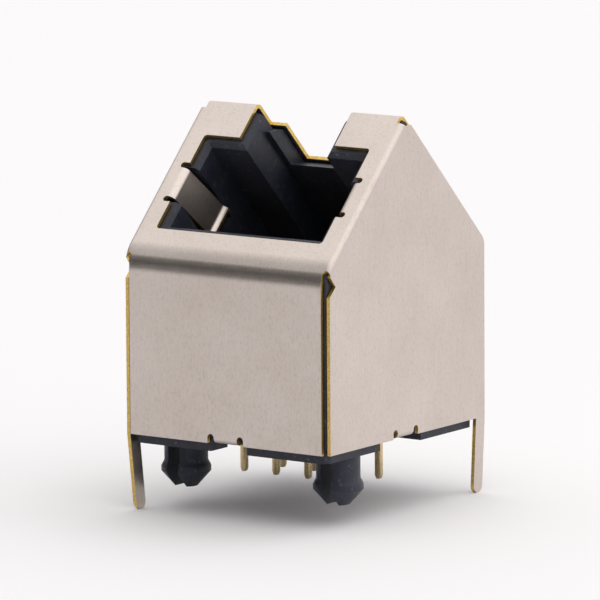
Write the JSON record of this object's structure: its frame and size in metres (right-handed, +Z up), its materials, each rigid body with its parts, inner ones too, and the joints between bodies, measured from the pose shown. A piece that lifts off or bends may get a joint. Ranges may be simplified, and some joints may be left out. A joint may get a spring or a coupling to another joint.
{
  "type": "rj45 board jack",
  "caption": "Shielded modular jack for a circuit board, with its plug opening sloped at 45 degrees, split board pegs, solder legs and formed contacts.",
  "frame": {"origin": "middle of the board face, in the plane of the housing's rim, halfway between its sides and halfway between the front and rear panels", "axes": "+X across the plug, +Y to the back of the jack, +Z up from the board; the plug goes in downwards and to the back at 45 degrees"},
  "size_m": [0.016, 0.0182, 0.0256],
  "materials": {
    "shield_plating": "nickel plated sheet, fine satin grain",
    "housing_plastic": "satin black moulding",
    "carrier_plastic": "satin black moulding",
    "contact_plating": "plated, bright"
  },
  "bodies": {
    "root": {"shield": "shield_plating", "housing": "housing_plastic", "contact_carrier": "carrier_plastic", "contact_1": "contact_plating", "contact_2": "contact_plating", "contact_3": "contact_plating", "contact_4": "contact_plating", "contact_5": "contact_plating", "contact_6": "contact_plating", "contact_7": "contact_plating", "contact_8": "contact_plating"}
  },
  "joints": []
}
